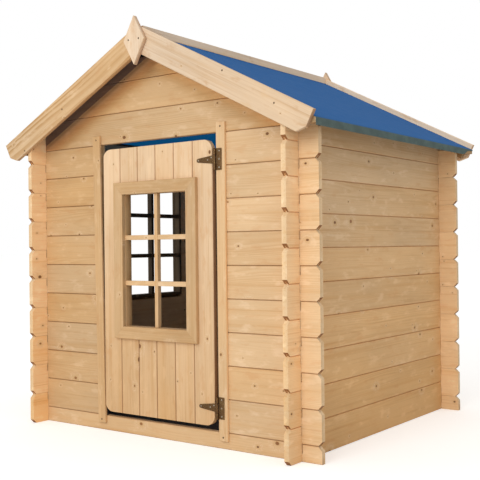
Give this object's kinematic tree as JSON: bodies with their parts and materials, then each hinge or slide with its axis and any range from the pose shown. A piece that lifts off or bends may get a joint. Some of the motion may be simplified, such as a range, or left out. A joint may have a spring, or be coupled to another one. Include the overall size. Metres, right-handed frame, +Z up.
{
  "type": "wooden playhouse",
  "caption": "Small children's playhouse of interlocking softwood boards with a hinged plank door, open divided windows and a gabled blue tarpaulin roof.",
  "frame": {"origin": "on the ground in the middle of the house's overall width and depth", "axes": "+Z up, the front wall with the door faces -Y, +X to the right seen from the front"},
  "size_m": [1.342, 1.2206, 1.3913],
  "materials": {
    "door_casing_left": "bare planed softwood, matt",
    "door_casing_right": "bare planed softwood, matt",
    "door_ledge_lower": "bare planed softwood, matt",
    "door_ledge_upper": "bare planed softwood, matt",
    "door_plank_1": "bare planed softwood, matt",
    "door_plank_2": "bare planed softwood, matt",
    "door_plank_3_lower": "bare planed softwood, matt",
    "door_plank_3_upper": "bare planed softwood, matt",
    "door_plank_4_lower": "bare planed softwood, matt",
    "door_plank_4_upper": "bare planed softwood, matt",
    "door_plank_5": "bare planed softwood, matt",
    "door_plank_6": "bare planed softwood, matt",
    "door_window_grid": "bare planed softwood, matt",
    "door_window_trim": "bare planed softwood, matt",
    "front_finial": "bare planed softwood, matt",
    "front_gable_board_1": "bare planed softwood, matt",
    "front_gable_board_2": "bare planed softwood, matt",
    "front_left_bargeboard": "bare planed softwood, matt",
    "front_left_boards": "bare planed softwood, matt",
    "front_lintel_board": "bare planed softwood, matt",
    "front_rafter_pair": "bare planed softwood, matt",
    "front_right_bargeboard": "bare planed softwood, matt",
    "front_right_boards": "bare planed softwood, matt",
    "front_sill_board": "bare planed softwood, matt",
    "left_eave_batten": "bare planed softwood, matt",
    "left_front_boards": "bare planed softwood, matt",
    "left_lower_boards": "bare planed softwood, matt",
    "left_rear_boards": "bare planed softwood, matt",
    "left_top_board": "bare planed softwood, matt",
    "left_window_grid": "bare planed softwood, matt",
    "left_window_trim": "bare planed softwood, matt",
    "lower_hinge_leaf": "antique bronze lacquer, semi-matt",
    "lower_hinge_pin": "antique bronze lacquer, semi-matt",
    "lower_hinge_strap": "antique bronze lacquer, semi-matt",
    "rear_finial": "bare planed softwood, matt",
    "rear_gable_board_1": "bare planed softwood, matt",
    "rear_gable_board_2": "bare planed softwood, matt",
    "rear_gable_board_3": "bare planed softwood, matt",
    "rear_left_bargeboard": "bare planed softwood, matt",
    "rear_lower_boards": "bare planed softwood, matt",
    "rear_rafter_pair": "bare planed softwood, matt",
    "rear_right_bargeboard": "bare planed softwood, matt",
    "rear_upper_boards": "bare planed softwood, matt",
    "ridge_beam": "bare planed softwood, matt",
    "ridge_cap": "bare planed softwood, matt",
    "right_board_01": "bare planed softwood, matt",
    "right_board_02": "bare planed softwood, matt",
    "right_board_03": "bare planed softwood, matt",
    "right_board_04": "bare planed softwood, matt",
    "right_board_05": "bare planed softwood, matt",
    "right_board_06": "bare planed softwood, matt",
    "right_board_07": "bare planed softwood, matt",
    "right_board_08": "bare planed softwood, matt",
    "right_board_09": "bare planed softwood, matt",
    "right_board_10": "bare planed softwood, matt",
    "right_eave_batten": "bare planed softwood, matt",
    "roof_sheet": "woven tarpaulin, satin",
    "upper_hinge_leaf": "antique bronze lacquer, semi-matt",
    "upper_hinge_pin": "antique bronze lacquer, semi-matt",
    "upper_hinge_strap": "antique bronze lacquer, semi-matt"
  },
  "bodies": {
    "house": {"door_casing_left": "door_casing_left", "door_casing_right": "door_casing_right", "front_finial": "front_finial", "front_gable_board_1": "front_gable_board_1", "front_gable_board_2": "front_gable_board_2", "front_left_bargeboard": "front_left_bargeboard", "front_left_boards": "front_left_boards", "front_lintel_board": "front_lintel_board", "front_rafter_pair": "front_rafter_pair", "front_right_bargeboard": "front_right_bargeboard", "front_right_boards": "front_right_boards", "front_sill_board": "front_sill_board", "left_eave_batten": "left_eave_batten", "left_front_boards": "left_front_boards", "left_lower_boards": "left_lower_boards", "left_rear_boards": "left_rear_boards", "left_top_board": "left_top_board", "left_window_grid": "left_window_grid", "left_window_trim": "left_window_trim", "lower_hinge_leaf": "lower_hinge_leaf", "lower_hinge_pin": "lower_hinge_pin", "rear_finial": "rear_finial", "rear_gable_board_1": "rear_gable_board_1", "rear_gable_board_2": "rear_gable_board_2", "rear_gable_board_3": "rear_gable_board_3", "rear_left_bargeboard": "rear_left_bargeboard", "rear_lower_boards": "rear_lower_boards", "rear_rafter_pair": "rear_rafter_pair", "rear_right_bargeboard": "rear_right_bargeboard", "rear_upper_boards": "rear_upper_boards", "ridge_beam": "ridge_beam", "ridge_cap": "ridge_cap", "right_board_01": "right_board_01", "right_board_02": "right_board_02", "right_board_03": "right_board_03", "right_board_04": "right_board_04", "right_board_05": "right_board_05", "right_board_06": "right_board_06", "right_board_07": "right_board_07", "right_board_08": "right_board_08", "right_board_09": "right_board_09", "right_board_10": "right_board_10", "right_eave_batten": "right_eave_batten", "roof_sheet": "roof_sheet", "upper_hinge_leaf": "upper_hinge_leaf", "upper_hinge_pin": "upper_hinge_pin"},
    "door": {"door_ledge_lower": "door_ledge_lower", "door_ledge_upper": "door_ledge_upper", "door_plank_1": "door_plank_1", "door_plank_2": "door_plank_2", "door_plank_3_lower": "door_plank_3_lower", "door_plank_3_upper": "door_plank_3_upper", "door_plank_4_lower": "door_plank_4_lower", "door_plank_4_upper": "door_plank_4_upper", "door_plank_5": "door_plank_5", "door_plank_6": "door_plank_6", "door_window_grid": "door_window_grid", "door_window_trim": "door_window_trim", "lower_hinge_strap": "lower_hinge_strap", "upper_hinge_strap": "upper_hinge_strap"}
  },
  "joints": [
    {"name": "door_hinge", "type": "hinge", "parent": "house", "child": "door", "pos_m": [0.26, -0.5216, 0.52], "axis": [0, 0, 1], "range_deg": [0, 165]}
  ]
}
